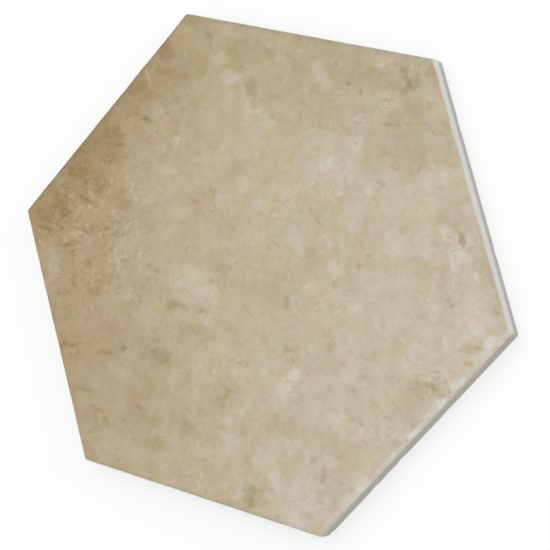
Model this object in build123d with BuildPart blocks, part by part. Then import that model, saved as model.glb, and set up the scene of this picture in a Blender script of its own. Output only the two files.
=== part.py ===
"""Hexagonal floor tile of pressed, glazed porcelain, lying on its back with the glazed face up.

The tile is pressed and fired as one piece. Its flat face ends in a soft arris, the upper wall leans in
a little so that the grout joint opens towards the face, and the lower wall is an upright land that the
next tile is set against. The back has a plain rim around a honeycomb of shallow keying pockets, which
the adhesive grips.

Origin: the middle of the plane that the tile beds on. +X points at a corner, +Z comes out of the face.
"""
from build123d import *
from math import atan, cos, degrees, radians, sqrt
import os

# Sizes of the pressed body, in millimetres
across_flats = 175.0
thickness = 9.0
corner_radius = 1.6
arris_radius = 0.7
back_edge_chamfer = 0.3

# Side wall: an upright land below, a wall that leans in above it
land_height = 4.7
wall_lean = 0.4

# Keying relief on the back: rings of pockets round the middle one, inside a plain rim
rim_width = 9.0
pocket_rings = 4
rib_width = 3.2
pocket_depth = 0.6
pocket_corner_radius = 1.5
pocket_draft = 20.0  # degrees


def hexagon_radius(flats):
    """Distance from the middle to a corner of a hexagon with the given width across its flats."""
    return flats / sqrt(3)


# The pitch that makes the outermost pockets reach the rim. A row of pockets lies every pitch * cos(30),
# and the last row's pockets reach hexagon_radius(pitch - rib_width) past their own centres.
row_share = cos(radians(30))
inside_rim = across_flats / 2 - rim_width
pocket_pitch = (inside_rim + hexagon_radius(rib_width)) / (pocket_rings * row_share + hexagon_radius(1))
pocket_radius = hexagon_radius(pocket_pitch - rib_width)


def pocket_centres():
    """Centres of the honeycomb's cells, in rings that run parallel to the tile's own sides."""
    centres = []
    for column in range(-pocket_rings, pocket_rings + 1):
        for row in range(-pocket_rings, pocket_rings + 1):
            if abs(column + row) <= pocket_rings:
                centres.append((pocket_pitch * (column + row / 2), pocket_pitch * row_share * row))
    return centres


# One keying pocket: widest at the back, with drafted walls so that the body leaves the die
with BuildPart() as pocket:
    with BuildSketch():
        RegularPolygon(pocket_radius, 6, rotation=30)
    extrude(amount=pocket_depth, taper=pocket_draft)
    wall_corners = pocket.edges().filter_by(lambda edge: abs(edge.tangent_at(0.5).Z) > 0.1)
    fillet(wall_corners, pocket_corner_radius)

with BuildPart() as tile:
    # Land: the full-width lower part of the body
    with BuildSketch() as outline:
        RegularPolygon(hexagon_radius(across_flats), 6)
        fillet(outline.vertices(), corner_radius)
    extrude(amount=land_height)

    # Upper body, whose wall leans in towards the face
    with BuildSketch(Plane.XY.offset(land_height)):
        add(outline.sketch)
    extrude(amount=thickness - land_height, taper=degrees(atan(wall_lean / (thickness - land_height))))

    # Soft arris round the face, and the small chamfer that the press leaves round the back
    fillet(tile.faces().sort_by(Axis.Z)[-1].edges(), arris_radius)
    chamfer(tile.faces().sort_by(Axis.Z)[0].edges(), back_edge_chamfer)

    # Honeycomb of keying pockets
    with Locations(pocket_centres()):
        add(pocket.part, mode=Mode.SUBTRACT)

tile.part.label = "tile"

os.makedirs("parts", exist_ok=True)
export_step(tile.part, "parts/tile.step")
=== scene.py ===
"""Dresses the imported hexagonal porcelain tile: the fired body with its real arris, side walls and keyed
back as one numpy surface, its aged stone print and glaze, and a pale studio round it.

Blender's lengths are metres in the row frame. Sizes and places of the body and the print are written in
millimetres, and MM turns them into metres.
"""
from math import radians, tan

import bmesh
import bpy
import numpy as np
from mathutils import Matrix, Vector


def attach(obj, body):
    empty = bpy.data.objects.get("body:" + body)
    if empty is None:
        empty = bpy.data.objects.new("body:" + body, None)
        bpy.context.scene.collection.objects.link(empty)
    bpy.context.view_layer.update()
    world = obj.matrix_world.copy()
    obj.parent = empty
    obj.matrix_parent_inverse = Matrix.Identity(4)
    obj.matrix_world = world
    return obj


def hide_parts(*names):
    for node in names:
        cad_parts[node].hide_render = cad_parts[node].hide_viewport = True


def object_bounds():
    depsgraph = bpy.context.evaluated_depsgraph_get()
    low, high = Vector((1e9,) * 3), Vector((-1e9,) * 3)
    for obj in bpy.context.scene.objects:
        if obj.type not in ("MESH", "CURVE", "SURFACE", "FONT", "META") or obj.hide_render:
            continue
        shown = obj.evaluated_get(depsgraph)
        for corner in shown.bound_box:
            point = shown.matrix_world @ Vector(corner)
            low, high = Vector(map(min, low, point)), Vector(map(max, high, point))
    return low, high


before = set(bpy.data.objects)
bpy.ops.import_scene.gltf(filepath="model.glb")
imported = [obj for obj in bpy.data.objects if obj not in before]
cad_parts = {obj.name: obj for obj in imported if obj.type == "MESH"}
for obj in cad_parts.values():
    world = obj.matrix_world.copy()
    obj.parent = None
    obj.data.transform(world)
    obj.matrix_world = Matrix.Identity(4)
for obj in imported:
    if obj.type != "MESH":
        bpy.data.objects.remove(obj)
cad_low, cad_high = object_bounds()

MM = 0.001
COS30 = np.cos(np.pi / 6)

# Sizes that the frame gives, in mm
ACROSS_FLATS = (cad_high[1] - cad_low[1]) / MM
THICKNESS = (cad_high[2] - cad_low[2]) / MM
APOTHEM = ACROSS_FLATS / 2

# Sizes of the pressed body, in mm, and the draft of its pockets in degrees
CORNER_RADIUS = 1.6
ARRIS_RADIUS = 0.7
BACK_CHAMFER = 0.3
LAND_HEIGHT = 4.7
WALL_LEAN = 0.4
RIM_WIDTH = 9.0
POCKET_RINGS = 4
RIB_WIDTH = 3.2
POCKET_DEPTH = 0.6
POCKET_CORNER = 1.5
POCKET_DRAFT = 20.0

# How finely the surface is laid out
SIDE_STEPS = 132
CORNER_STEPS = 6
CORNER_SHARE = CORNER_STEPS / SIDE_STEPS
ARRIS_ROWS = 10
WALL_ROWS = 7
LAND_ROWS = 8
POCKET_CORNER_STEPS = 4

# How the fired body strays from its drawing, as waves of (depth in mm, length in mm, seed)
ARRIS_WAVER = ((0.05, 17, 11), (0.03, 3.2, 12))
WALL_GRAIN = ((0.012, 1.9, 13),)
GLAZE_WAVES = ((0.018, 34, 31), (0.008, 7, 32))

# How deep the glaze's waves lie under the face on average, in their own depths, so that none stands proud
GLAZE_LEVEL = 1.6

# Where on the wall these show, in mm: the waver is strongest a little below the face and fades both ways,
# chips reach up from the back, and the glaze's waves run out below the face. The last is the most that the
# wall may stand back.
WAVER_DROP, WAVER_REACH = 0.3, 0.7
CHIP_REACH = 1.6
WAVE_REACH = 1.2
MOST_WORN = 1.3

# Chips along the back edge, as (place in sides from the +X corner, half length in mm, depth in mm)
EDGE_CHIPS = [
    (5.40, 2.2, 0.26), (5.27, 1.8, 0.28), (5.34, 3.4, 0.12), (5.05, 1.4, 0.32), (5.62, 2.4, 0.10),
    (0.31, 2.0, 0.2), (0.74, 3.0, 0.15), (1.42, 2.4, 0.3), (2.18, 2.0, 0.25), (2.66, 3.4, 0.2),
    (3.52, 2.2, 0.3), (4.13, 2.6, 0.22), (4.81, 1.8, 0.3),
]

# Measures that wander from place to place: the mean, then waves of (amount, length in mm, seed)
CHIP_UNEVENNESS = (1, (0.35, 1.6, 21))
# These are where print and glaze end, in mm run past the face's edge
PRINT_STOPS_SHORT = (0.45, (0.16, 14, 41), (0.10, 3.5, 42))
PRINT_RUNS_OVER = (0.8, (0.2, 5, 43))
PRINT_RUNS_DOWN = (1.3, (0.08, 6, 45))
GLAZE_RUNS_DOWN = (THICKNESS - LAND_HEIGHT + 0.35, (0.06, 12, 44))
GLAZE_BELOW_PRINT = 0.1

# How much less painted shade darkens the rim on the two sides that start at turns 3 and 4
LESS_RIM_SHADE = 0.45

# How one side's finish gives way to the next at a corner: an offset and two lengths, in sides
CORNER_SHIFT, SWEPT_CHANGE, SIDE_CHANGE = 0.004, 0.008, 0.01

# A distance past the face's edge at which there is neither print nor glaze, in mm
BARE = 20.0


def paint(red, green, blue):
    """A colour written as on a screen, 0 to 255, as the linear colour that light is worked out in.

    With v the value from 0 to 1: v / 12.92 up to 0.04045, and ((v + 0.055) / 1.055) ** 2.4 above.
    """
    shown = np.array([red, green, blue]) / 255
    return np.where(shown <= 0.04045, shown / 12.92, ((shown + 0.055) / 1.055) ** 2.4)


# The print's own tones, from the browned corner at -X to the corner at +X
FLANK_BROWN = paint(165, 141, 100)
MIDDLE_TAN = paint(188, 172, 142)
FAR_CREAM = paint(198, 185, 164)

# Where along X brown turns to tan and tan to cream: start and length of each run, in mm
TAN_RUN = (-105, 90)
CREAM_RUN = (-25, 120)

# White glaze at the arris and down the wall, and the darkest and palest grain of the bare body
GLAZE_AT_ARRIS, GLAZE_ON_WALL = paint(207, 202, 194), paint(208, 206, 199)
BODY_DARK, BODY_PALE = paint(171, 168, 157), paint(187, 184, 174)

# What each kind of stain does to the light that the print gives back: red, green and blue
SHADE = (0.93, 0.915, 0.87)
TAN, RUST, BROWN = (0.875, 0.84, 0.75), (0.92, 0.82, 0.74), (0.81, 0.76, 0.63)
OLIVE, OCHRE = (0.78, 0.76, 0.62), (0.90, 0.84, 0.73)
WORN = (1.10, 1.20, 1.38)
PALE, GREENISH, PINKISH = (1.12, 1.16, 1.32), (1.06, 1.14, 1.22), (1.12, 1.09, 1.22)

# Stains by kind. Each is (x, y, half length, half width, turn, strength), in mm and degrees, as seen from
# above with +X to the right.
STAINS = [
    # Broad tones that lie over the run from brown to cream
    (SHADE, [
        (8, 100, 80, 46, 0, 1.2), (54, 66, 18, 20, 0, 0.8), (-40, 76, 14, 14, 0, 0.7),
        (88, 18, 8, 14, 30, 1.1), (-34, -48, 24, 20, 10, 0.7), (-78, 32, 14, 26, -30, 1.5),
        (-62, 62, 14, 20, -30, 1.2), (-10, -92, 50, 16, 0, 0.5), (-92, 2, 12, 8, 0, 0.6),
        (-77, 44.5, 50, 5, 60, 1.1), (-2, 88, 50, 4, 0, 0.7), (-53, 60, 14, 11, 0, 1.0),
        (44, 56, 24, 12, 0, 0.7), (56, 48, 20, 12, -40, 0.5), (40, 78, 16, 8, 0, 0.5),
        (0, 76, 12, 7, 0, 0.4), (22, 80, 34, 7, 0, 0.4), (-38, 48, 18, 14, 0, 0.5),
        (74, 32, 10, 8, 0, 0.4), (-58, 30, 10, 8, 0, 0.35),
    ]),
    (PALE, [
        (-87, -19, 8, 16, 30, 1.0), (22, 42, 34, 12, 0, 0.25), (44, -78, 34, 18, 0, 0.2),
        (20, -38, 26, 10, -20, 0.2), (0, -79, 11, 7, 0, 0.25), (60, 2, 24, 18, 0, 0.15),
        (-48, 22, 22, 12, 10, 0.2),
    ]),
    # Clouds
    (TAN, [
        (-8, 66, 9, 6, 0, 0.4), (14, 65, 8, 5, 0, 0.4), (-23, 78, 7, 6, 0, 0.9), (25, 76, 12, 6, 0, 0.5),
        (46, 52, 12, 8, 20, 0.15), (-13, 35, 7, 4, 10, 0.4), (-44, 66, 10, 6, 0, 0.5),
        (48, 68, 6, 4, 0, 0.6), (-58, 13, 9, 4, 0, 0.5), (40, 8, 9, 9, 0, 0.35), (24, 8, 4, 6, 0, 0.6),
        (-13, -3, 5, 4, 0, 0.6), (10, -7, 10, 5, -20, 0.5), (-15, -59, 7, 6, 0, 0.6),
        (-24, -73, 9, 3.4, 10, 0.8), (28, -54, 8, 4, 0, 0.5), (-48, -35, 8, 4, 0, 0.4),
        (0, -48, 5, 8, 0, 0.7), (-31, -58, 8, 9, 0, 0.6), (-34, -68, 9, 5, 0, 0.5),
        (-29, -43, 7, 5, 0, 0.6), (68, 14, 9, 7, 0, 0.4), (-30, -5, 5, 6, 0, 0.4),
        (72, -33, 6, 8, 0, 0.5), (75, -26, 6, 4, 0, 0.7), (54, -58, 6, 5, 0, 0.1),
        (91, 15, 2.6, 8, 30, 0.7), (84, 26, 2.6, 9, 30, 0.3), (72, 33.5, 8, 3, 0, 0.6),
        (24.5, -79.5, 2.6, 6, 0, 0.8), (53, 82, 3, 5, 30, 0.7), (65, 40, 3, 12, 30, 0.1),
        (78, 4, 5, 7, 0, 0.4), (-64, -30, 10, 7, 0, 0.25), (10, 39, 4, 3, 0, 0.5),
        (31, 33, 5, 3, -10, 0.6), (27, 18, 3, 3, 0, 0.4), (12, 17, 6, 3, -10, 0.3),
        (-9, -66.5, 6, 3.2, 0, 0.6), (-22, -66, 4, 3, 0, 0.5), (74, -14, 5, 4, 0, 0.5),
        (-56, -18, 4, 4, 30, 0.4), (10, 67.5, 3, 3, 0, 0.5), (-38, 66, 3, 5, 0, 0.4),
        (-69, 18, 4, 4, 0, 0.5), (-45, -70, 9, 5, 0, 0.4),
    ]),
    (PINKISH, [
        (0, -46, 9, 6, 0, 0.25), (71, 28, 3.4, 2.6, -20, 0.2), (27, 15, 4, 4, 0, 0.4),
        (16, -81.5, 2, 2.4, 0, 0.8), (55, -47, 2.4, 4, 0, 0.7), (30, -12, 8, 6, 0, 0.3),
        (54, 75, 4, 3, 0, 0.5), (-10, -38, 6, 4, 0, 0.4), (-50, -78, 10, 4, 0, 0.4),
        (48, -30, 8, 5, 0, 0.4), (-36, 2, 6, 5, 0, 0.3), (38, -84, 8, 4, 0, 0.5), (87, 1, 8, 5, 0, 0.3),
    ]),
    (PALE, [
        (77, 22, 3.2, 5.6, 25, 0.1), (26.5, -33.5, 2.2, 3.2, -10, 0.4), (24, -39, 3.2, 5, 0, 0.5),
        (6.5, -64, 5, 6, 0, 0.5), (4, -57, 3, 2, 0, 0.5), (-42, 39, 2.4, 2.2, 0, 0.4),
        (29, 52.5, 3.6, 3, 20, 0.5), (31, 82, 2.6, 1.8, 0, 0.8), (38.5, 37, 2.2, 1.8, 0, 0.8),
        (-9, 41, 2.2, 1.6, 0, 0.7), (9, 76, 4, 3.6, -40, 0.6), (13, 72, 3, 2.6, -40, 0.6),
        (-26, 68, 4, 3, 0, 0.9), (-22, -9, 9, 6.5, 0, 1.0), (-38, -26, 3.6, 5, 0, 0.6),
        (-40, -43, 4, 2.8, 0, 0.5), (-39, -53, 5, 2.8, 0, 0.4), (-53, 49, 3.6, 2.4, 0, 0.8),
        (47.4, -46.5, 2.2, 5.5, 14, 0.5), (33, 8, 3.4, 3.4, 0, 0.5), (36, 24, 3, 3, 0, 0.4),
        (-56, -7, 3.4, 6, 0, 0.5), (62, 8, 5, 5, 0, 0.3), (-14, 54, 9, 5, -10, 0.5),
        (-52, 55, 3.6, 2.6, 0, 0.5), (-45, 25, 7, 5, 30, 0.35), (-88, 9, 4, 1.8, 0, 0.5),
        (-20, -46, 4, 3, 0, 0.5), (-4, 52, 3, 2.4, 0, 0.4), (32, 51, 2.2, 3.4, 0, 0.4),
        (60, 46, 6, 7, 0, 0.15), (-17, 25, 3, 3, 0, 0.1), (24, -66, 6, 6, 0, 0.3),
        (34, -58, 6, 5, 0, 0.4), (39, -73, 5, 11, 0, 0.4), (-31, 73, 4, 2.6, 0, 0.5),
        (87, 3, 8, 4, 0, 0.3), (-35, 85, 5, 2, 0, 0.6), (-50, 82, 3, 1.4, 30, 0.5),
        (-60, 60, 4.6, 1.1, -60, 0.5),
    ]),
    (GREENISH, [
        (-73, -34, 7, 7, 0, 0.4), (20, 43, 4.6, 3, 0, 0.4), (-2, 24, 5, 3.4, 0, 0.4),
        (5, 31, 6, 4, 0, 0.5), (-83, -17, 4.4, 6, 30, 1.0), (-5, -27, 4, 2.4, 0, 0.6),
        (-22, -47, 7, 4, 0, 0.6), (56, 59, 4, 3, 0, 0.2), (-46, 28, 5, 1.6, 0, 0.8),
        (12, 13, 10, 8, 0, 0.3), (84, 16.5, 2.4, 1, -50, 1.0), (60, 36, 5, 4, 0, 0.4),
        (92, -3, 5, 2, 0, 0.5),
    ]),
    # Where the glaze has worn pale along the lower edge at the right
    (WORN, [
        (75.2, -43.4, 56, 1.3, 60, 0.5), (93.0, -8.5, 8, 2.2, 60, 0.5), (86.2, -20.5, 6, 1.9, 60, 0.6),
        (81.4, -29.6, 3.4, 2.0, 60, 0.4), (77, -37, 4, 1.4, 60, 0.3), (69.6, -51.5, 5, 1.6, 60, 0.4),
        (66.2, -58, 3, 1.6, 60, 0.3), (59, -69, 9, 1.6, 60, 0.35), (53, -79, 5, 1.0, 60, 0.4),
    ]),
    # Brown and rust at the dark flank
    (BROWN, [
        (-55, 73, 4.6, 2.4, 10, 0.6), (-54.5, 64, 3.6, 1.4, 0, 0.3), (-84, 2, 4, 2.4, 0, 0.5),
        (-76, 10, 5, 1.4, -10, 0.5), (-70, 36, 5, 2.4, 0, 0.8), (-90, -5, 5, 0.9, -8, 0.4),
        (-71, 15.5, 3, 2.4, 0, 0.7), (-69, -46.5, 4.4, 1.2, 22, 0.7), (-66, 33, 2.4, 1, 20, 0.7),
        (-85, 14, 2.6, 1.2, 0, 0.7), (-83, 16, 2, 1, 0, 0.5), (-74, 42, 1.6, 3, -30, 0.7),
        (-63, -23, 3, 1.8, 10, 0.9), (-68, 27, 5, 4, 0, 0.5), (-58, 12, 2, 3, 0, 0.4),
    ]),
    (RUST, [
        (-80, 20, 9, 4.4, 0, 0.9), (-72, 30, 8, 5, 0, 0.45), (-66, 22, 5, 6, 0, 0.25),
        (-62, 56, 5, 3.4, -20, 0.6), (-92, -1, 7, 2.8, -10, 0.6), (-86, 5, 6, 4, 0, 0.5),
        (-84, 26, 4, 8, -30, 0.4), (-28, 18, 2, 3, 0, 0.4), (-78, -33, 5, 1.4, 0, 0.6),
        (-55, 71, 3, 4, 0, 0.6), (-87, 8, 5, 4, 0, 0.4),
    ]),
    # Olive smudges
    (OLIVE, [
        (-28, -21, 2.6, 2.4, -50, 0.8), (-25, -20, 4, 1.2, -10, 0.5), (-16, -20.5, 3, 1.3, 10, 0.5),
        (-22, -19.5, 5, 1.6, 0, 0.3), (-26.5, -41, 4, 1.3, 45, 0.2), (-31, -39, 5, 4, 0, 0.4),
        (-17, -28, 5, 2.2, 0, 0.35), (-17, 65, 2.4, 4.2, 20, 0.5), (44, 77, 3.2, 1.3, -42, 0.7),
        (40.5, 81.5, 1.8, 1.4, 0, 0.6), (47, 78.5, 1.4, 0.9, 0, 0.7), (43.5, 75, 1.4, 2, 0, 0.8),
        (38, 75, 3.4, 1.4, -10, 0.4), (24, 56, 3.2, 1.2, -35, 0.5), (-12, 78, 2.4, 2, 0, 0.5),
        (8.5, 68, 1.6, 3, 10, 0.35), (19.5, -81, 2.8, 4.4, 5, 0.5), (21, -78, 3, 1.4, 0, 0.4),
        (22, -83.5, 2, 1.6, 0, 0.5), (21.5, -25, 2.8, 2.2, 0, 0.5), (-5.5, -56.5, 2.2, 2, 0, 0.3),
        (-11.5, -62.5, 4, 3, 10, 0.6), (0, -50, 2.4, 3, 0, 0.5), (0, -44.5, 3, 1, -20, 0.5),
        (2, -47, 1.4, 1.8, 0, 0.25), (12, -58, 1.4, 5, 20, 0.4), (17.5, -62, 1.4, 4, 0, 0.4),
        (-49, 84, 4, 2.4, 0, 0.5), (-15, 38, 3.4, 1.6, -10, 0.4), (17, -9, 1.3, 3.4, 20, 0.45),
        (62, -23, 2, 5, 0, 0.3), (53, -27, 3, 1.1, 0, 0.45), (78, -24.5, 6, 1.1, 0, 0.4),
        (61.5, -12.5, 2.6, 1.2, 0, 0.3), (76, -9, 1.2, 3.4, 15, 0.4), (42.5, 40.5, 2.8, 1.3, -30, 0.8),
        (60, 66, 2.2, 1, -20, 0.6), (60, 62.5, 1.4, 1, 0, 0.5), (-58, -61, 5, 0.9, 0, 0.4),
        (-52, -67, 3.4, 1.6, 0, 0.3), (-45, -70, 3, 0.9, -40, 0.4), (-52, -45, 3, 1.2, 10, 0.4),
        (-60, -44, 2.2, 1.2, 0, 0.4), (16, -68.5, 1.6, 2, 0, 0.5), (-66, 53.5, 3, 1.2, -35, 0.4),
        (-56, 45, 3, 1, 0, 0.4), (-45, -41, 1.6, 2, 0, 0.4), (-59, -4, 1, 4, 0, 0.3),
    ]),
    # Ochre strokes
    (OCHRE, [
        (76, 28, 1.7, 2.6, 30, 0.2), (37.5, -20.5, 1.6, 2.4, -20, 0.3), (91, -8, 3.2, 1.8, 10, 0.3),
        (90, -13, 2.6, 1.1, 10, 0.2), (94, 6.5, 3.2, 1.4, 10, 0.3), (46, -65.5, 1.3, 3.6, 15, 0.3),
        (67, -49, 2.8, 1.6, 20, 0.5), (82, -27, 1.8, 1.2, 30, 0.2), (50, -68.6, 2.2, 0.6, 0, 0.5),
        (54, -66, 2, 1.3, 0, 0.2), (75, -38.5, 1.6, 2, 20, 0.6), (1.5, -46.5, 1.5, 2.4, 0, 0.1),
        (-24, -73, 4, 1.6, 0, 0.3), (-32, -61.5, 3, 0.8, -20, 0.5),
    ]),
]

# Marks with a torn, crisp edge, by kind as above
TORN_MARKS = [
    (PINKISH, [
        (71.4, 28.6, 4.2, 2.2, -14, 0.5), (-53, 49, 3.2, 2.2, 20, 0.4), (9.5, 75.5, 6.5, 2.0, -42, 0.5),
        (-33, 72, 3.4, 2.6, 0, 0.4), (-12, 65, 2.6, 3.4, 0, 0.2), (-24.5, 68, 3.4, 2.6, 10, 0.3),
        (57, -49, 2, 3, 10, 0.4),
    ]),
    (PALE, [
        (71.4, 28.6, 4.2, 2.2, -14, 0.5), (76.2, 22.4, 3.0, 5.6, 18, 0.7),
        (26.6, -33.4, 2.6, 2.6, -10, 0.8), (25, -39, 3, 5, 10, 0.1), (33.6, 7.6, 3.4, 3.6, 30, 0.5),
        (-42, 39, 2.3, 1.9, 20, 0.6), (4, -57, 2.6, 1.4, 0, 0.6), (29.5, 52.5, 3.0, 2.4, 20, 0.4),
        (-17, 24.5, 2.2, 2.8, -20, 0.5), (-27, -35, 1.4, 2.2, 10, 0.3),
    ]),
    (GREENISH, [
        (20, 43, 4.4, 2.2, 5, 0.3), (-3, 23, 4.4, 3, 10, 0.3),
    ]),
    (WORN, [
        (95.0, -5.0, 5.0, 2.0, 50, 0.45), (86.8, -20.5, 5.5, 1.8, 60, 0.35),
        (81.4, -29.4, 3.2, 1.8, 52, 0.5), (74.2, -43, 2.4, 1.6, 50, 0.5), (69.8, -52, 3.6, 1.2, 60, 0.3),
    ]),
    (OLIVE, [
        (-65, -44.8, 2.2, 0.9, 10, 0.5), (-64, -47.4, 1.7, 0.6, -42, 0.5),
        (-55.6, 45.2, 3.4, 1.0, -12, 0.45), (-62, 45.4, 1.9, 0.7, 14, 0.6),
        (-67, 53.6, 2.0, 0.6, -38, 0.8), (-69.6, 51.6, 2.0, 0.8, 40, 0.6), (-48.8, 49, 0.9, 1.4, 10, 0.6),
        (-47, 63.4, 4.0, 0.5, 2, 0.35), (-52.3, 70.2, 0.7, 1.8, -30, 0.7), (-36.4, 67, 1.8, 0.6, 30, 0.5),
        (-17, 66, 1.4, 3.2, 16, 0.4), (-65.4, 44, 3.0, 0.4, 30, 0.6), (-37, 77.6, 0.5, 3.0, 14, 0.6),
        (20.8, 73, 0.8, 0.8, 0, 0.6), (26.6, 71, 0.6, 0.9, 0, 0.6), (-28.2, -20.8, 1.6, 1.9, -40, 0.5),
        (-15.6, -20.6, 2.2, 0.8, 10, 0.5), (43.4, 77.6, 2.6, 0.9, -42, 0.6), (46.6, 76, 1.8, 1.4, 0, 0.6),
        (-77, -7, 2.2, 1.2, 20, 0.5), (40.6, 81.4, 1.2, 1.0, 0, 0.4), (20.2, -81, 2.6, 4.0, 8, 0.5),
        (46.8, -66.4, 0.8, 2.0, 24, 0.3), (21.4, -25.2, 1.6, 1.3, 0, 0.4), (17, -9, 0.8, 2.6, 20, 0.4),
        (60, 66, 1.5, 0.7, -20, 0.4), (-12, -62.6, 2.4, 1.4, 10, 0.3), (-26.4, -41.6, 2.6, 0.8, 45, 0.25),
    ]),
    (OCHRE, [
        (24.5, -82, 4, 4, 0, 0.2), (37.6, -20.6, 1.4, 2.4, -24, 0.6), (89.2, -7.8, 4.2, 1.4, 12, 0.8),
        (88.8, -13.2, 2.6, 1.0, 10, 1.0), (94, 6, 1.6, 1.1, 10, 0.5), (46.2, -65, 1.0, 3.4, 24, 0.7),
        (53.4, -66.2, 1.5, 1.0, 0, 0.4), (82, -27, 1.8, 1.2, 30, 1.1), (1.5, -46.6, 1.2, 1.9, 0, 0.6),
        (75.4, -24.2, 4.4, 0.8, 0, 0.3),
    ]),
    (BROWN, [
        (76.4, 27.6, 1.1, 3.4, 22, 1.1), (-68, -14, 2.6, 1.2, -50, 0.7), (-54.8, 63.6, 3.2, 1.1, -6, 0.5),
        (-39, 80.8, 2.0, 0.8, -20, 0.7), (-62, 58, 3.2, 1.0, 10, 0.25), (-60.4, 52, 2.8, 1.2, 8, 0.3),
        (-71.6, 38, 2.8, 1.8, 0, 0.4), (-50.6, 54, 1.2, 0.6, 10, 0.6), (-42, 57.4, 1.5, 0.6, -20, 0.6),
        (-89.6, -5, 4.4, 0.8, -8, 1.0), (-69.4, -46.8, 3.6, 1.5, 24, 0.6), (-71, 15.6, 2.2, 1.6, 0, 0.5),
        (-76, 10.2, 3.6, 1.0, -12, 0.5), (-66, 33.2, 1.8, 0.8, 20, 0.4), (-84, 2.4, 3, 1.6, 0, 0.5),
        (-58, 45.4, 2.4, 0.7, -8, 0.5), (-79, -9, 2.4, 0.6, 14, 0.3),
    ]),
    (RUST, [
        (-80, 20, 5, 2.4, 20, 0.1), (-57, 71.4, 4.4, 2.8, 16, 0.35), (-62, 54.6, 4.2, 3.2, 20, 0.45),
        (-91, -1.4, 3.6, 1.6, -10, 0.5), (-28, 18, 1.4, 2.2, 0, 0.4),
    ]),
]

# From where to where the cover of a stain, a torn mark and a busy place falls off, in half sizes from its
# middle
SOFT_EDGE = (0.35, 1.4)
TORN_EDGE = (0.72, 1.12)
BUSY_EDGE = (0.4, 1.5)

# What moves the stains' outlines: lengths of the ripples in mm, and how far each goes, at most in mm and as
# a share of the stain's smaller half size. TORN_EXTRA is the share of the shortest ripple in a torn edge.
WIDE_RIPPLE, CLOSE_RIPPLE, TORN_RIPPLE = 26, 5.5, 3.2
WIDE_MOST, WIDE_SHARE = 6, 0.25
CLOSE_MOST, CLOSE_SHARE = 1.2, 0.3
TORN_EXTRA = 0.8

# Where the print is scribbled and crazed most, as (x, y, half length, half width, turn, strength), and how
# busy it is everywhere else
BUSY_PLACES = [
    (-72, 2, 26, 34, 0, 1.0), (-66, 42, 16, 22, -30, 0.35), (-56, 70, 8, 10, 0, 0.4),
    (-56, -14, 20, 22, 0, 0.5), (86, 4, 12, 28, 30, 0.3), (74, -34, 10, 28, -30, 0.55),
    (-70, -24, 12, 9, 0, 0.9), (44, 76, 12, 10, 0, 0.8), (36, 64, 14, 6, 0, 0.5),
    (-24, -32, 16, 14, 0, 0.4), (0, -78, 36, 8, 0, 0.25),
]
LEAST_BUSY = 0.12

# Small marks, too fine for the stains above, and how strongly they darken or lighten the print
DARK_FLECKS = [
    (-44.6, -42, 0.7, 1.8, -20, 0.8), (-51, -44.8, 2.2, 0.7, 5, 0.4), (-57.5, -41.5, 1.6, 0.5, -35, 0.7),
    (-55, -46, 1.4, 0.6, -40, 0.6), (-58, -61.2, 4, 0.4, 8, 0.5), (-50.5, -66.6, 2.2, 0.5, -28, 0.6),
    (-46, -69, 2.8, 0.5, -42, 0.8), (-32, -61.8, 1.9, 0.6, -25, 0.5), (21, 73, 0.8, 0.8, 0, 0.8),
    (26.5, 71, 0.8, 1.2, 0, 0.7), (29, 64, 1.5, 0.8, 0, 0.7), (5, 63, 2.2, 0.4, -35, 0.5),
    (6, 58, 0.4, 2.5, 0, 0.6), (39, 61.5, 2.4, 0.6, 15, 0.9), (57, 61.5, 1.8, 0.5, -45, 0.7),
    (55, 48, 0.7, 1.2, 0, 0.8), (46.5, 46.5, 0.9, 0.8, 0, 0.8), (29, 52.3, 0.8, 0.8, 0, 0.8),
    (71, 27.5, 0.8, 0.8, 0, 0.7), (76.3, 6.3, 0.8, 0.7, 0, 0.8), (77.8, 5, 0.9, 0.8, 0, 0.7),
    (94, 6, 0.7, 0.6, 0, 0.6), (33, 2.3, 0.7, 0.6, 0, 1.0), (74.5, -40, 1.0, 0.8, 0, 0.8),
    (49, -33.5, 2, 1.2, 0, 0.5), (52, -43.5, 1, 0.8, 0, 0.9), (56, -44, 1.2, 0.7, -20, 0.8),
    (57.8, -67.5, 0.8, 1.2, 0, 0.8), (32.5, -85, 1, 0.8, 0, 0.7), (4, -35, 0.9, 0.8, 0, 0.7),
    (-8, -27, 1.5, 0.5, 0, 0.4), (-22.5, 23, 4.4, 0.4, -65, 0.45), (22.5, 21.5, 3.6, 0.5, -38, 0.55),
    (3, -16, 4.4, 0.4, -32, 0.55), (17.5, 26, 1.4, 0.5, -60, 0.6), (8, 27.5, 0.9, 0.7, 20, 0.9),
    (-11.5, -9, 3.4, 0.4, -65, 0.3), (-79, -9, 3, 0.6, 12, 1.0), (-67.5, -13.5, 1.6, 0.7, -50, 1.0),
    (-69.5, -1, 0.7, 2, 15, 0.8), (-63, 5.5, 2.4, 0.6, 8, 0.7), (-42, -8.5, 1, 0.7, 0, 0.9),
    (-38, -10, 1.2, 0.5, -30, 0.9), (-54, 6, 3, 0.4, 40, 0.6), (-75, -14, 1.8, 0.6, -70, 0.8),
    (-72, -23, 2.4, 0.5, -30, 0.8), (-58, 45, 2, 0.5, 10, 0.8), (-35, 53.5, 5, 0.4, -18, 0.35),
]
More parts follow.
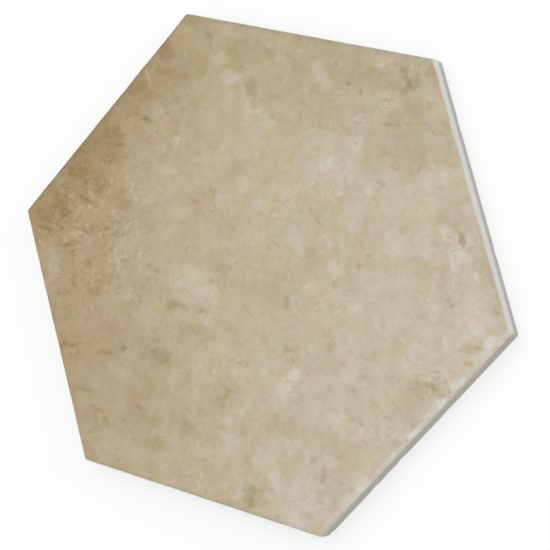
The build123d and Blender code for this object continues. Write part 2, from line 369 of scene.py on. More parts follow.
LIGHT_FLECKS = [
    (-60.2, 60.4, 3.8, 0.6, -58, 0.9), (-54.4, 74.4, 1.0, 0.7, 0, 1.0), (-52, 72.8, 0.8, 0.6, 0, 1.0),
    (-46.8, 73, 0.6, 1.2, 0, 0.9), (-48, 81.4, 3.6, 0.5, 32, 0.7), (-62.5, 8, 1.2, 0.7, 20, 1.0),
    (-66, 19, 0.8, 0.8, 0, 0.9), (-65.5, 16.5, 0.5, 1.2, 0, 0.9), (-63, 18.5, 0.6, 1.4, 20, 0.9),
    (-76, 5.5, 1.5, 0.7, 30, 0.8), (-53, 6, 2, 0.5, 35, 0.7), (-47, 4, 1, 0.5, 10, 0.9),
    (-81, -7, 1.3, 1.0, -50, 0.9), (-46, 81, 1, 0.5, 30, 0.8), (-52, 73, 1, 0.5, 0, 0.8),
    (-40, 28, 1.4, 0.8, 0, 0.9), (-41.5, 19.6, 3.6, 0.4, -8, 0.7), (2, 1.5, 1, 0.5, 0, 0.7),
    (2, 13, 0.8, 0.7, 0, 0.8), (26, 31, 1.6, 0.5, -25, 0.8), (-7, -10, 3, 0.4, 20, 0.5),
    (22, -2, 6, 0.3, 8, 0.5), (84, 16.3, 2, 0.6, -50, 1.0), (77, 14, 1, 0.6, 0, 0.9),
    (-55.5, -10, 2.6, 0.5, -40, 0.7), (-69.5, -5.5, 1.2, 0.6, 20, 0.9), (-66, -2, 1.2, 0.4, 20, 0.8),
    (-59, -11, 0.8, 1.4, 0, 0.8), (75.5, -41.5, 1.0, 1.4, 0, 0.5), (78.5, -8, 0.5, 4, 25, 0.6),
]
DARK_FLECK, LIGHT_FLECK = -0.17, 0.12

# How places sway and quiver so that marks bend, as (size of the noise, reach) in mm
SWAY, QUIVER = (6, 3), (3, 2.2)

# Sizes of the noises in the print's grain and in the bare body, in mm
CLOUD_SIZE, PATCH_SIZE, MIDDLE_SIZE, FINE_SIZE, DAB_SIZE, SPECKLE_SIZE = 14, 6, 2.6, 1.1, 6.5, 0.6

# How strongly each layer of the grain lightens the print where its noise is high. A layer with a weight
# below nought darkens it there.
CLOUD, PATCH, MIDDLE, FINE, DAB = 0.14, 0.034, 0.13, 0.09, 0.045
TORN, SMALL_TORN, WORN_THROUGH = 0.045, -0.05, 0.055

# The three ways in which strokes run over the tile, in degrees
STROKE_TURNS = (64, -38, 8)

# Strokes by kind: the length and width of the noise that they are cut from in mm, the turn that they add,
# the level over which they show, the pace and start of their shift, whether they keep to the busy places,
# and how strongly they lighten or darken the print
STROKES = (
    (6.0, 2.2, -12, 0.66, 0.017, 3, False, -0.15),
    (4.6, 1.7, 0, 0.59, 0.01, 0, True, -0.22),
    (3.4, 1.6, 30, 0.60, 0.013, 2, True, 0.22),
    (4.6, 2.2, 50, 0.67, 0.019, 5, False, 0.13),
)

# Between which distances, in mm, each of these happens: the white glaze pales and painted shade darkens
# the rim, past the face's edge; ink gathers, and print and glaze give out, before their own ends
GLAZE_PALES, RIM_SHADE_SPAN = (0.2, 1.4), (-1.5, 0.3)
INK_GATHERS, PRINT_FADES, GLAZE_FADES = (1.6, 0.4), (-0.6, 0.5), (-0.1, 0.1)

# How far those ends are torn to and fro, in mm
TEAR = 0.4

# Roughness of the bare body, of the glaze, and what patches add to the glaze's. Then how far the grain is
# raised, in mm, and how strongly that shows.
BODY_ROUGHNESS, GLAZE_ROUGHNESS, PATCH_ROUGHNESS = 0.86, 0.38, 0.2
RAISED, RAISED_STRENGTH = 0.1, 0.25

# What each of these does to red, green and blue where it is strongest
GRAIN_TINT = (0.73, 1.0, 1.68)
LILAC_TINT = (0.03, 0.01, 0.24)
GREEN_TINT = (-0.07, 0.02, -0.03)
STROKE_TINT = (0.9, 1.0, 1.2)
INKED_TINT = (-0.02, -0.08, -0.16)
# Painted shade: this tint darkens the rims of the sides from turns 1 to 5, where the arris falls away
RIM_SHADE_TINT = (-0.17, -0.115, 0.0)


# The outline: a hexagon with rounded corners

def outline(turns, apothem, radius, corner_share):
    """Points and normals of a rounded hexagon whose first corner lies on +X.

    turns runs from 0 to 6, one unit a side. Within a side the share f counts from its first corner.
    The normal turns by 30 degrees over the first corner_share of f and by 30 more over the last, and
    between them the arc's centre slides from one corner of the inner hexagon to the next:
    point = centre + radius * normal.
    """
    side = np.floor(turns)
    f = turns - side
    start = np.clip(f / corner_share, 0, 1)
    end = np.clip((f - 1) / corner_share + 1, 0, 1)
    slide = np.clip((f - corner_share) / (1 - 2 * corner_share), 0, 1)
    angle = np.radians(60 * side + 30 * start + 30 * end)
    normal = np.stack([np.cos(angle), np.sin(angle)], -1)
    centre = hexagon(side + slide, apothem - radius)
    return centre + radius * normal, normal


def hexagon(turns, apothem):
    """Points of a sharp hexagon: corner k at 60k degrees, and straight from each corner to the next."""
    side = np.floor(turns)
    f = (turns - side)[..., None]
    a, b = np.radians(60 * side), np.radians(60 * side + 60)
    first = np.stack([np.cos(a), np.sin(a)], -1)
    second = np.stack([np.cos(b), np.sin(b)], -1)
    return apothem / COS30 * ((1 - f) * first + f * second)


# Soft noise for shapes and stains

def ripple(x, y, size, seed):
    """Soft noise of about -1 to 1: nine sine waves in random directions, added up and divided by 3.6.

    The lengths of the waves lie between 0.65 and 1.6 times size.
    """
    random = np.random.default_rng(seed)
    total = np.zeros(np.broadcast(x, y).shape)
    for _ in range(9):
        angle, phase = random.uniform(0, 2 * np.pi, 2)
        pace = 2 * np.pi / (size * random.uniform(0.65, 1.6))
        total += np.sin(pace * (x * np.cos(angle) + y * np.sin(angle)) + phase)
    return total / 3.6


def waves(kinds, level, x, y):
    """Waves laid over each other: the sum of depth * (level + ripple)."""
    return sum(depth * (level + ripple(x, y, length, seed)) for depth, length, seed in kinds)


def wander(measure, x, y):
    """A measure that wanders: its mean plus amount * ripple for each of its waves."""
    mean, *kinds = measure
    for amount, length, seed in kinds:
        mean = mean + amount * ripple(x, y, length, seed)
    return mean


def smooth(x):
    """The smooth step: 0 up to 0, 1 from 1 on, and 3x^2 - 2x^3 between."""
    x = np.clip(x, 0, 1)
    return x * x * (3 - 2 * x)


# The print: colours laid down as soft stains

def spread(x, y, place, edge):
    """How far a stain covers each point: its strength times a smooth step of q.

    q is the distance from the stain's middle, measured along its length and width in half lengths and half
    widths. The cover is full up to edge[0] and nothing from edge[1].
    """
    px, py, length, width, turn, strength = place
    c, s = np.cos(radians(turn)), np.sin(radians(turn))
    q = np.hypot(((x - px) * c + (y - py) * s) / length, ((y - py) * c - (x - px) * s) / width)
    return strength * smooth((edge[1] - q) / (edge[1] - edge[0]))


def lay_stains(x, y):
    """The print's colour at each place, before its grain.

    The ground runs from brown through tan to cream along +X. A stain multiplies the colour under it by its
    own, as far as it covers. A wide and a close ripple shift the places, and a still shorter one does so
    under the torn marks, so that no stain keeps the outline of an ellipse.
    """
    wide_x, wide_y = ripple(x, y, WIDE_RIPPLE, 3), ripple(x, y, WIDE_RIPPLE, 4)
    close_x, close_y = ripple(x, y, CLOSE_RIPPLE, 5), ripple(x, y, CLOSE_RIPPLE, 6)
    torn_x = close_x + TORN_EXTRA * ripple(x, y, TORN_RIPPLE, 7)
    torn_y = close_y + TORN_EXTRA * ripple(x, y, TORN_RIPPLE, 8)
    tan_share = smooth((x - TAN_RUN[0]) / TAN_RUN[1])[:, None]
    cream_share = smooth((x - CREAM_RUN[0]) / CREAM_RUN[1])[:, None]
    colour = FLANK_BROWN + (MIDDLE_TAN - FLANK_BROWN) * tan_share
    colour = colour + (FAR_CREAM - MIDDLE_TAN) * cream_share
    for stains, edge, near_x, near_y in ((STAINS, SOFT_EDGE, close_x, close_y),
                                         (TORN_MARKS, TORN_EDGE, torn_x, torn_y)):
        for shade, places in stains:
            for place in places:
                give = min(place[2], place[3])
                near, wide = min(CLOSE_MOST, CLOSE_SHARE * give), min(WIDE_MOST, WIDE_SHARE * give)
                dx = near_x * near + wide_x * wide
                dy = near_y * near + wide_y * wide
                cover = spread(x + dx, y + dy, place, edge)[:, None]
                colour = colour * (1 + cover * (np.array(shade) - 1))
    return colour


def busyness(x, y):
    """How strongly the print is scribbled at each place: the most that any busy place gives it."""
    total = np.full(x.shape, LEAST_BUSY)
    for place in BUSY_PLACES:
        total = np.maximum(total, spread(x, y, place, BUSY_EDGE))
    return total


def finish_ends(turns, x, y):
    """How the finish ends at each place, and how much painted shade darkens the rim: print_end, glaze_end,
    inked_rim and painted_rim_shade.

    The first two are distances run past the face's edge. On the side that starts at the +X corner (turns 0
    to 1) the print stops just short of the arris, its ink gathers there, and the white glaze runs down to
    the land. On the others the print covers the arris and the glaze stops just under it, lowest on the last
    side, which starts at 5. Painted shade darkens the rim from 1 to 3, where the arris falls away, and about
    half as much from 3 to 5.
    """
    swept = smooth((turns - CORNER_SHIFT) / SWEPT_CHANGE) * smooth((1 + CORNER_SHIFT - turns) / SWEPT_CHANGE)
    last = smooth((turns - 5.0) / SIDE_CHANGE)
    over = wander(PRINT_RUNS_DOWN, x, y) * last + wander(PRINT_RUNS_OVER, x, y) * (1 - last)
    print_end = wander(PRINT_STOPS_SHORT, x, y) * swept + (1 - swept) * over
    glaze_end = wander(GLAZE_RUNS_DOWN, x, y) * swept + (print_end + GLAZE_BELOW_PRINT) * (1 - swept)
    shaded_rim = (1 - swept) * (1 - last) * (1 - LESS_RIM_SHADE * smooth((turns - 3.0) / SIDE_CHANGE))
    return print_end, glaze_end, swept, shaded_rim


# The body's surface

def face_rings(turns_of_ring):
    """Places on the flat face: ring k of the lattice is the hexagon scaled by k / rings, with 6k points.

    Towards the edge the sharp hexagon turns into the rounded outline of the face, by the eighth power of
    k / rings.
    """
    rings = len(turns_of_ring)
    edge = WALL_LEAN + arris_run()
    places = [np.zeros((1, 2))]
    for k, turns in enumerate(turns_of_ring, 1):
        sharp = hexagon(turns, APOTHEM - edge)
        rounded, _ = outline(turns, APOTHEM - edge, CORNER_RADIUS - edge, CORNER_SHARE)
        share = (k / rings) ** 8
        places.append(k / rings * ((1 - share) * sharp + share * rounded))
    return places


def face_relief(x, y):
    """How far the glaze lies under the plane of the face: soft waves of two lengths, never proud of it."""
    return np.clip(waves(GLAZE_WAVES, GLAZE_LEVEL, x, y), 0, None)


def arris_run():
    """How far the arris reaches over the flat face: the arc's radius times tan of half the wall's turn."""
    lean = np.arctan(WALL_LEAN / (THICKNESS - LAND_HEIGHT))
    return ARRIS_RADIUS * tan((np.pi / 2 - lean) / 2)


def wall_section():
    """Inset from the widest outline, height, and distance run from the face's edge, down to the back.

    An arc for the arris, a straight wall that leans in by WALL_LEAN, an upright land, and a chamfer.
    """
    lean = np.arctan(WALL_LEAN / (THICKNESS - LAND_HEIGHT))
    turn = np.linspace(0, np.pi / 2 - lean, ARRIS_ROWS)
    inset = WALL_LEAN + arris_run() - ARRIS_RADIUS * np.sin(turn)
    height = THICKNESS - ARRIS_RADIUS * (1 - np.cos(turn))
    down = np.linspace(0, 1, WALL_ROWS + 1)[1:]
    inset = np.append(inset, inset[-1] * (1 - down))
    height = np.append(height, height[-1] + (LAND_HEIGHT - height[-1]) * down)
    height = np.append(height, np.linspace(LAND_HEIGHT, BACK_CHAMFER, LAND_ROWS + 1)[1:])
    inset = np.append(inset, np.zeros(LAND_ROWS))
    inset = np.append(inset, [BACK_CHAMFER * 0.5, BACK_CHAMFER])
    height = np.append(height, [BACK_CHAMFER * 0.5, 0])
    run = np.concatenate([[0], np.cumsum(np.hypot(np.diff(inset), np.diff(height)))])
    return inset, height, run


def chips(turns, x, y):
    """How deep the body's edges are worn at each place round it: small dents, each a parabola in length."""
    worn = np.zeros(turns.shape)
    for at, half, depth in EDGE_CHIPS:
        away = (turns - at) * ACROSS_FLATS / COS30 / 2
        worn = np.maximum(worn, depth * np.clip(1 - (away / half) ** 2, 0, 1))
    return worn * wander(CHIP_UNEVENNESS, x, y)


def wall_points(turns, sunk):
    """Rows of points down the wall: the section carried along the outline, and worn back along its normal.

    The inset grows by the arris's waver, by the chips and by a fine grain, each times how far it shows at
    that height, and the upper rows sink with the edge of the face.
    """
    inset, height, _ = wall_section()
    place, normal = outline(turns, APOTHEM, CORNER_RADIUS, CORNER_SHARE)
    x, y = place[:, 0], place[:, 1]
    waver = waves(ARRIS_WAVER, 1, x, y)
    dents = chips(turns, x, y)
    rows = []
    for d, z in zip(inset[1:], height[1:]):
        near_face = np.exp(-((z - (THICKNESS - WAVER_DROP)) / WAVER_REACH) ** 2)
        near_back = smooth((CHIP_REACH - z) / CHIP_REACH)
        rough = waves(WALL_GRAIN, 1, x + 3 * z, y - 2 * z)
        worn = np.clip(d + waver * near_face + dents * near_back + rough, 0, MOST_WORN)
        drop = sunk * smooth((z - THICKNESS + WAVE_REACH) / WAVE_REACH)
        rows.append(np.column_stack([place - normal * worn[:, None], z - drop]))
    return rows


def lattice_faces():
    """Triangles of the flat face: two for each step of a ring, and one for the last step of a side."""
    faces = []
    for k in range(1, SIDE_STEPS + 1):
        outer = 1 + 3 * k * (k - 1)
        inner = 1 + 3 * (k - 1) * (k - 2) if k > 1 else 0
        side = np.repeat(np.arange(6), k)
        step = np.tile(np.arange(k), 6)
        first = outer + side * k + step
        second = outer + (side * k + step + 1) % (6 * k)
        low = inner + (side * (k - 1) + step) % max(6 * (k - 1), 1)
        high = inner + (side * (k - 1) + step + 1) % max(6 * (k - 1), 1)
        faces.append(np.column_stack([low, first, second]))
        faces.append(np.column_stack([low, second, high])[step < k - 1])
    return faces


def body_surface():
    """The whole tile but its back: points, triangles, and two measures of each point.

    The measures are the distance run past the face's edge, below 0 on the face, and the place round the tile
    in sides. The first row of the wall is the face's own last ring.
    """
    ring_turns = [6 * np.arange(6 * k) / (6 * k) for k in range(1, SIDE_STEPS + 1)]
    flat = np.concatenate(face_rings(ring_turns))
    sunk = face_relief(flat[:, 0], flat[:, 1])
    edge_turns = ring_turns[-1]
    around = len(edge_turns)
    rows = wall_points(edge_turns, sunk[-around:])
    points = np.concatenate([np.column_stack([flat, THICKNESS - sunk])] + rows)

    faces = lattice_faces()
    column = np.arange(around)
    for row in range(len(rows)):
        upper = len(flat) + (row - 1) * around
        lower = upper + around
        a, b = upper + column, upper + (column + 1) % around
        c, d = lower + (column + 1) % around, lower + column
        faces.append(np.column_stack([a, d, c]))
        faces.append(np.column_stack([a, c, b]))

    edge = APOTHEM - WALL_LEAN - arris_run()
    apart = np.abs(flat @ np.array([[COS30, 0, COS30], [0.5, 1, -0.5]])).max(1)
    _, _, run = wall_section()
    along = np.concatenate([apart - edge, np.repeat(run[1:], around)])
    turns = np.concatenate([[0.0]] + ring_turns + [np.tile(edge_turns, len(rows))])
    return points, np.concatenate(faces), along, turns


def pocket_surfaces():
    """The keying pockets: a rounded hexagon sunk into the back in drafted rows, once for each centre."""
    inside_rim = APOTHEM - RIM_WIDTH
    pitch = (inside_rim + RIB_WIDTH / 2 / COS30) / (POCKET_RINGS * COS30 + 1 / (2 * COS30))
    each_way = np.arange(-POCKET_RINGS, POCKET_RINGS + 1)
    column, row = np.meshgrid(each_way, each_way)
    used = np.abs(column + row) <= POCKET_RINGS
    centres = pitch * np.column_stack([column[used] + row[used] / 2, COS30 * row[used]])

    side_steps = 2 * POCKET_CORNER_STEPS + 1
    turns = np.arange(6 * side_steps) / side_steps
    corner_share = POCKET_CORNER_STEPS / side_steps
    mouth, normal = outline(turns, (pitch - RIB_WIDTH) / 2, POCKET_CORNER, corner_share)
    thirty_degrees = np.array([[COS30, 0.5], [-0.5, COS30]])
    mouth, normal = mouth @ thirty_degrees, normal @ thirty_degrees

    # Rows from the mouth inwards: a broken edge, the drafted wall, a soft foot, and a ring of floor
    foot = POCKET_DEPTH * tan(radians(POCKET_DRAFT))
    inset = np.array([0, 0.04, 0.04 + foot * 0.8, 0.1 + foot, 0.9 + foot])
    height = np.array([0, 0.05, POCKET_DEPTH - 0.06, POCKET_DEPTH, POCKET_DEPTH])
    rows = mouth - normal * inset[:, None, None]
    heights = np.broadcast_to(height[:, None, None], rows.shape[:2] + (1,))
    middle = [[0, 0, POCKET_DEPTH]]
    shape = np.concatenate([np.dstack([rows, heights]).reshape(-1, 3), middle])
    points = shape + np.column_stack([centres, np.zeros(len(centres))])[:, None, :]

    around = len(turns)
    at = np.arange(around)
    faces = []
    for r in range(len(inset) - 1):
        a, b = r * around + at, r * around + (at + 1) % around
        c, d = (r + 1) * around + (at + 1) % around, (r + 1) * around + at
        faces += [np.column_stack([a, b, c]), np.column_stack([a, c, d])]
    last = (len(inset) - 1) * around
    faces.append(np.column_stack([last + at, last + (at + 1) % around, np.full(around, len(shape) - 1)]))
    starts = np.arange(len(centres)) * len(shape)
    return points.reshape(-1, 3), (np.concatenate(faces) + starts[:, None, None]).reshape(-1, 3)


def close_back(mesh):
    """Fills the flat web between the pockets, turns every face outwards, and smooths all but sharp edges."""
    work = bmesh.new()
    work.from_mesh(mesh)
    open_edges = [edge for edge in work.edges if edge.is_boundary]
    bmesh.ops.triangle_fill(work, edges=open_edges, use_beauty=True, use_dissolve=False, normal=(0, 0, -1))
    bmesh.ops.recalc_face_normals(work, faces=work.faces)
    for face in work.faces:
        face.smooth = True
    work.to_mesh(mesh)
    work.free()
    mesh.set_sharp_from_angle(angle=radians(28))


def build_tile():
    """The tile's mesh object, with its finish in point attributes."""
    body_points, body_faces, along, turns = body_surface()
    pocket_points, pocket_faces = pocket_surfaces()
    points = np.concatenate([body_points, pocket_points])
    faces = np.concatenate([body_faces, pocket_faces + len(body_points)])
    mesh = bpy.data.meshes.new("glazed_tile")
    mesh.from_pydata((points * MM).tolist(), [], faces.tolist())

    x, y = points[:, 0], points[:, 1]
    run = np.concatenate([along, np.full(len(pocket_points), BARE)])
    side = np.concatenate([turns, np.zeros(len(pocket_points))])
    print_end, glaze_end, inked, shaded_rim = finish_ends(side, x, y)
    # painted_rim_shade is how much painted shade darkens the rim at each point
    for name, values in (("run", run), ("print_end", print_end), ("glaze_end", glaze_end),
                         ("busy", busyness(x, y)), ("inked_rim", inked), ("painted_rim_shade", shaded_rim)):
        kept = mesh.attributes.new(name, "FLOAT", "POINT")
        kept.data.foreach_set("value", values.astype(np.float32))
    colour = np.column_stack([lay_stains(x, y), np.ones(len(x))])
    kept = mesh.attributes.new("print_colour", "FLOAT_COLOR", "POINT")
    kept.data.foreach_set("color", colour.astype(np.float32).ravel())

    close_back(mesh)
    tile = bpy.data.objects.new("glazed_tile", mesh)
    bpy.context.collection.objects.link(tile)
    return tile


# Materials

def put(tree, kind, values=None, **settings):
    """Adds a node. settings are its own options; values are numbers, colours or sockets for its inputs."""
    node = tree.nodes.new(kind)
    for name, value in settings.items():
        setattr(node, name, value)
    for name, value in (values or {}).items():
        socket = node.inputs[name]
        if isinstance(value, bpy.types.NodeSocket):
            tree.links.new(value, socket)
        else:
            socket.default_value = value
    return node


def calc(tree, operation, a, b=0.0, c=0.0):
    """The result of a Math node."""
    return put(tree, "ShaderNodeMath", {0: a, 1: b, 2: c}, operation=operation).outputs[0]


def attribute(tree, name, output="Fac"):
    """One of the finish measures that the mesh carries."""
    return put(tree, "ShaderNodeAttribute", attribute_name=name).outputs[output]


def ramp(tree, value, low, high):
    """value as 0 at low and 1 at high, along a smooth step."""
    node = put(tree, "ShaderNodeMapRange", {"Value": value, "From Min": low, "From Max": high},
               interpolation_type="SMOOTHSTEP")
    return node.outputs["Result"]


def blend(tree, share, under, over, how="MIX"):
    """Two colours mixed by share."""
    node = put(tree, "ShaderNodeMix", data_type="RGBA", blend_type=how)
    for index, value in ((0, share), (6, under), (7, over)):
        if isinstance(value, bpy.types.NodeSocket):
            tree.links.new(value, node.inputs[index])
        else:
            node.inputs[index].default_value = value if index == 0 else (*value[:3], 1)
    return node.outputs[2]


def tinted(tree, colour, amount, tint):
    """A colour times 1 + amount * tint, for red, green and blue."""
    red, green, blue = [calc(tree, "MULTIPLY_ADD", amount, share, 1.0) for share in tint]
    light = put(tree, "ShaderNodeCombineColor", {"Red": red, "Green": green, "Blue": blue}).outputs[0]
    return blend(tree, 1.0, colour, light, "MULTIPLY")


def bent(tree, place, size, reach):
    """Places moved to and fro so that marks bend: place + reach * (noise of that size - 0.5), in mm."""
    noise = put(tree, "ShaderNodeTexNoise", {"Vector": place, "Scale": 1 / (size * MM), "Detail": 1.0})
    sway = put(tree, "ShaderNodeVectorMath", {0: noise.outputs["Color"], 1: (0.5, 0.5, 0.5)},
               operation="SUBTRACT").outputs[0]
    return put(tree, "ShaderNodeVectorMath", {0: sway, 1: (reach * MM, reach * MM, reach * MM), 2: place},
               operation="MULTIPLY_ADD").outputs[0]


def grain(tree, place, size, detail=2.0, stretch=(1, 1, 1), turn=0.0, shift=0.0):
    """Noise whose clouds are about size mm across, and longer along an axis where stretch is below 1.

    The node stretches before it turns, so turn and shift only choose which part of the noise is used.
    """
    chosen = put(tree, "ShaderNodeMapping",
                 {"Vector": place, "Location": (shift, shift * 0.7, shift * 1.3), "Scale": stretch,
                  "Rotation": (0, 0, radians(turn))}, vector_type="POINT")
    noise = put(tree, "ShaderNodeTexNoise",
                {"Vector": chosen.outputs[0], "Scale": 1 / (size * MM), "Detail": detail, "Roughness": 0.55})
    return noise.outputs["Fac"]


def torn_layer(tree, place, size, shift, least):
    """Patches with crisp edges: where a rough noise rises over least, and fully from 0.03 over it."""
    return ramp(tree, grain(tree, place, size, 3.0, shift=shift), least, least + 0.03)


def strokes(tree, place, length, width, turn, least, shift):
    """Short strokes along one direction: where a noise that is drawn out along it rises over least, and
    fully from 0.09 over it."""
    local = put(tree, "ShaderNodeMapping",
                {"Vector": place, "Location": (shift, -shift, 0), "Rotation": (0, 0, radians(turn)),
                 "Scale": (length * MM, width * MM, 1.0)}, vector_type="TEXTURE")
    noise = put(tree, "ShaderNodeTexNoise",
                {"Vector": local.outputs[0], "Scale": 1.0, "Detail": 1.0, "Roughness": 0.5})
    return ramp(tree, noise.outputs["Fac"], least, least + 0.09)


def flecks(tree, place, marks):
    """How far any of the small marks covers a place, at most 1.

    Each mark is (x, y, half length, half width, turn, strength), in mm and degrees. Its cover falls off in a
    straight line from 2.2 times its strength at its middle to nothing at 1.5 times its half sizes.
    """
    cover = 0.0
    for x, y, length, width, turn, strength in marks:
        local = put(tree, "ShaderNodeMapping",
                    {"Vector": place, "Location": (x * MM, y * MM, 0), "Rotation": (0, 0, radians(turn)),
                     "Scale": (1.5 * length * MM, 1.5 * width * MM, 1.0)}, vector_type="TEXTURE")
        spot = put(tree, "ShaderNodeTexGradient", {"Vector": local.outputs[0]}, gradient_type="SPHERICAL")
        covered = calc(tree, "MULTIPLY", spot.outputs["Fac"], 2.2 * strength)
        cover = calc(tree, "MAXIMUM", cover, covered)
    return calc(tree, "MINIMUM", cover, 1.0)


def grained(tree, printed, place, moved, less, cloud, patch, middle, fine):
    """The print's stains, broken up by clouds, dabs and grain that lighten towards blue, darken towards
    ochre, and lean here and there to lilac or green."""
    dabs = put(tree, "ShaderNodeTexVoronoi",
               {"Vector": moved, "Scale": 1 / (DAB_SIZE * MM), "Smoothness": 0.16}, feature="SMOOTH_F1")
    dab = put(tree, "ShaderNodeSeparateColor", {0: dabs.outputs["Color"]})
    torn = torn_layer(tree, place, size=6.5, shift=5.2, least=0.49)
    small_torn = torn_layer(tree, less, size=3.8, shift=6.4, least=0.56)
    worn = torn_layer(tree, place, size=9, shift=7.7, least=0.57)

    # The sum starts at about minus the layers' mean, so that the grain leaves the print's mean colour alone
    total = -0.5 * (CLOUD + PATCH + MIDDLE + FINE + DAB + TORN) - 0.2 * (SMALL_TORN + WORN_THROUGH)
    for value, weight in ((cloud, CLOUD), (ramp(tree, patch, 0.43, 0.56), PATCH), (middle, MIDDLE),
                          (fine, FINE), (dab.outputs[0], DAB), (torn, TORN), (small_torn, SMALL_TORN),
                          (worn, WORN_THROUGH)):
        total = calc(tree, "MULTIPLY_ADD", value, weight, total)
    printed = tinted(tree, printed, total, GRAIN_TINT)

    # Lilac and green come and go about nought: 0.4 * dab + noise - 0.7, and noise - 0.5
    lilac = calc(tree, "MULTIPLY_ADD", dab.outputs[1], 0.4, grain(tree, moved, 8, 1.0, shift=2.1))
    printed = tinted(tree, printed, calc(tree, "SUBTRACT", lilac, 0.7), LILAC_TINT)
    green = grain(tree, moved, 7, 1.0, shift=3.3)
    return tinted(tree, printed, calc(tree, "SUBTRACT", green, 0.5), GREEN_TINT)


def scribbled(tree, printed, place, less):
    """The print with its strokes, most of them where it is busy, and with its small marks."""
    gathered = ramp(tree, grain(tree, place, 8, 1.0, shift=1.7), 0.35, 0.6)
    near = calc(tree, "MULTIPLY", attribute(tree, "busy"), gathered)
    patchy = ramp(tree, grain(tree, place, 15, 1.0, shift=9.1), 0.42, 0.60)
    marks = 0.0
    for length, width, turn, least, pace, start, keeps_to_busy, weight in STROKES:
        drawn = 0.0
        for way in STROKE_TURNS:
            stroke = strokes(tree, less, length, width, way + turn, least, pace * way + start)
            drawn = calc(tree, "MAXIMUM", drawn, stroke)
        shown = calc(tree, "MULTIPLY", drawn, near if keeps_to_busy else patchy)
        marks = calc(tree, "MULTIPLY_ADD", shown, weight, marks)
    marks = calc(tree, "MULTIPLY_ADD", flecks(tree, less, DARK_FLECKS), DARK_FLECK, marks)
    marks = calc(tree, "MULTIPLY_ADD", flecks(tree, less, LIGHT_FLECKS), LIGHT_FLECK, marks)
    return tinted(tree, printed, marks, STROKE_TINT)


def left(tree, end, run, noise):
    """How far in mm a place lies before where print or glaze ends: end - run + TEAR * (noise - 0.5)."""
    tear = calc(tree, "MULTIPLY_ADD", noise, TEAR, -TEAR / 2)
    return calc(tree, "ADD", calc(tree, "SUBTRACT", attribute(tree, end), run), tear)


def tile_material():
    """Matt glaze with an aged stone print, white glaze where the print stops, and bare body below."""
    material = bpy.data.materials.new("printed_glaze_and_body")
    material.use_nodes = True
    tree = material.node_tree
    tree.nodes.clear()
    place = put(tree, "ShaderNodeTexCoord").outputs["Object"]
    moved = bent(tree, place, *SWAY)
    less = bent(tree, place, *QUIVER)
    cloud = grain(tree, place, CLOUD_SIZE, 1.0)
    patch = grain(tree, moved, PATCH_SIZE, 1.0, shift=0.31)
    middle = grain(tree, moved, MIDDLE_SIZE, 1.0, stretch=(1, 0.6, 1), turn=62, shift=0.57)
    fine = grain(tree, place, FINE_SIZE, 1.5, shift=0.83)
    printed = attribute(tree, "print_colour", "Color")
    printed = grained(tree, printed, place, moved, less, cloud, patch, middle, fine)
    printed = scribbled(tree, printed, place, less)

    # White glaze, and the bare body with its pressed grain
    run = attribute(tree, "run")
    glaze = blend(tree, ramp(tree, run, *GLAZE_PALES), GLAZE_AT_ARRIS, GLAZE_ON_WALL)
    speckle = grain(tree, place, SPECKLE_SIZE, 2.0, shift=1.1)
    body = blend(tree, ramp(tree, speckle, 0.3, 0.7), BODY_DARK, BODY_PALE)

    # Where each stops, with a broken line. The ink gathers at its edge.
    print_left = left(tree, "print_end", run, middle)
    glaze_left = left(tree, "glaze_end", run, fine)
    gathered = calc(tree, "MULTIPLY", ramp(tree, print_left, *INK_GATHERS), ramp(tree, cloud, 0.42, 0.58))
    inked = calc(tree, "MULTIPLY", gathered, attribute(tree, "inked_rim"))
    printed = tinted(tree, printed, inked, INKED_TINT)
    # Painted shade: the rims of the sides from turns 1 to 5 are darkened where the arris falls away
    shaded_rim = calc(tree, "MULTIPLY", ramp(tree, run, *RIM_SHADE_SPAN), attribute(tree, "painted_rim_shade"))
    printed = tinted(tree, printed, shaded_rim, RIM_SHADE_TINT)
    glazed_share = ramp(tree, glaze_left, *GLAZE_FADES)
    top = blend(tree, ramp(tree, print_left, *PRINT_FADES), glaze, printed)
    colour = blend(tree, glazed_share, body, top)

    # The glaze is matt in patches and the body is duller, with the print's grain faintly raised
    glazed = calc(tree, "MULTIPLY_ADD", patch, PATCH_ROUGHNESS, GLAZE_ROUGHNESS)
    rough = put(tree, "ShaderNodeMix", {0: glazed_share, 2: BODY_ROUGHNESS, 3: glazed}, data_type="FLOAT")
    height = calc(tree, "MULTIPLY_ADD", fine, 0.6, patch)
    bump = put(tree, "ShaderNodeBump",
               {"Height": height, "Strength": RAISED_STRENGTH, "Distance": RAISED * MM})
    shader = put(tree, "ShaderNodeBsdfPrincipled",
                 {"Base Color": colour, "Roughness": rough.outputs[0], "Normal": bump.outputs[0]})
    out = put(tree, "ShaderNodeOutputMaterial")
    tree.links.new(shader.outputs[0], out.inputs["Surface"])
    return material


tile = build_tile()
tile.data.materials.append(tile_material())
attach(tile, "root")
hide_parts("tile")


# The studio

FLOOR_REACH = 4.0
FLOOR_GLOW = 0.6
WORLD_LIGHT = 0.80


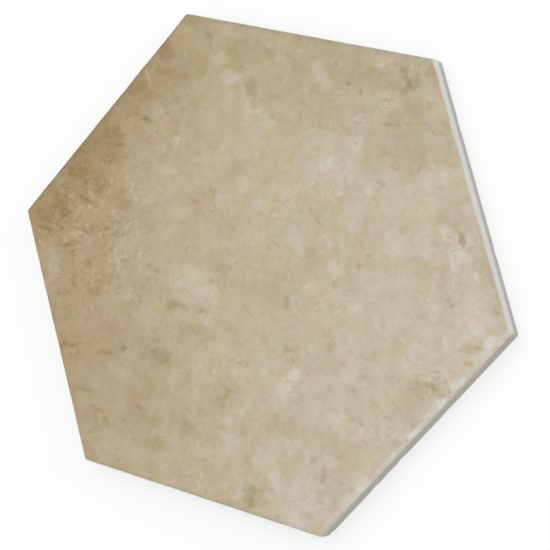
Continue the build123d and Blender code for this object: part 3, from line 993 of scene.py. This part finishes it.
def floor():
    """A wide pale floor that shows white to the camera and keeps the tile's shadow."""
    mesh = bpy.data.meshes.new("studio_floor")
    corners = [(x * FLOOR_REACH, y * FLOOR_REACH, 0) for x, y in ((-1, -1), (1, -1), (1, 1), (-1, 1))]
    mesh.from_pydata(corners, [], [(0, 1, 2, 3)])
    sheet = bpy.data.objects.new("studio_floor", mesh)
    bpy.context.collection.objects.link(sheet)
    material = bpy.data.materials.new("studio_floor")
    material.use_nodes = True
    tree = material.node_tree
    tree.nodes.clear()
    rays = put(tree, "ShaderNodeLightPath")
    seen = calc(tree, "MAXIMUM", rays.outputs["Is Camera Ray"], rays.outputs["Is Glossy Ray"])
    seen = calc(tree, "MAXIMUM", seen, rays.outputs["Is Transmission Ray"])
    shade = blend(tree, seen, (0.8, 0.8, 0.8), (1.0, 1.0, 1.0))
    paper = put(tree, "ShaderNodeBsdfDiffuse", {"Color": shade})
    glow = put(tree, "ShaderNodeEmission", {"Color": (1.0, 1.0, 1.0, 1.0), "Strength": 1.0})
    share = calc(tree, "MULTIPLY", seen, FLOOR_GLOW)
    shader = put(tree, "ShaderNodeMixShader", {0: share, 1: paper.outputs[0], 2: glow.outputs[0]})
    out = put(tree, "ShaderNodeOutputMaterial")
    tree.links.new(shader.outputs[0], out.inputs["Surface"])
    mesh.materials.append(material)


def lamp(name, place, size, power, colour):
    """A soft square lamp that faces the tile."""
    light = bpy.data.lights.new(name, "AREA")
    light.size = size
    light.energy = power
    light.color = colour
    holder = bpy.data.objects.new(name, light)
    bpy.context.collection.objects.link(holder)
    holder.location = place
    aim = np.array([0, 0, 0.005]) - np.array(place)
    holder.rotation_euler = Vector(aim).to_track_quat("-Z", "Y").to_euler()


floor()
world = bpy.data.worlds.new("studio")
world.use_nodes = True
background = world.node_tree.nodes["Background"]
background.inputs["Color"].default_value = (1.0, 1.0, 1.0, 1)
background.inputs["Strength"].default_value = WORLD_LIGHT
bpy.context.scene.world = world
lamp("overhead", place=(-0.35, 0.55, 1.3), size=0.9, power=4.0, colour=(1.0, 0.985, 0.96))
lamp("cool_side", place=(0.9, 0.65, 0.35), size=0.5, power=2.4, colour=(0.78, 0.92, 1.0))

# The camera: where the photograph's six outer edges put it
CAMERA_PLACE = np.array([240.42, 29.12, 524.15]) * MM
CAMERA_AIM = np.array([9.974, -0.316, 9.0]) * MM
CAMERA_ROLL = -83.55
FOCAL_LENGTH = 101.497

camera_data = bpy.data.cameras.new("photo_camera")
camera_data.sensor_width = 36.0
camera_data.lens = FOCAL_LENGTH
camera = bpy.data.objects.new("photo_camera", camera_data)
bpy.context.collection.objects.link(camera)
look = Vector(CAMERA_AIM - CAMERA_PLACE).normalized()
right = look.cross(Vector((0, 0, 1))).normalized()
level = Matrix((right, right.cross(look), -look)).transposed()
turned = (level @ Matrix.Rotation(radians(CAMERA_ROLL), 3, "Z")).to_4x4()
camera.matrix_world = Matrix.Translation(Vector(CAMERA_PLACE)) @ turned
bpy.context.scene.camera = camera
bpy.context.scene.view_settings.view_transform = "Standard"
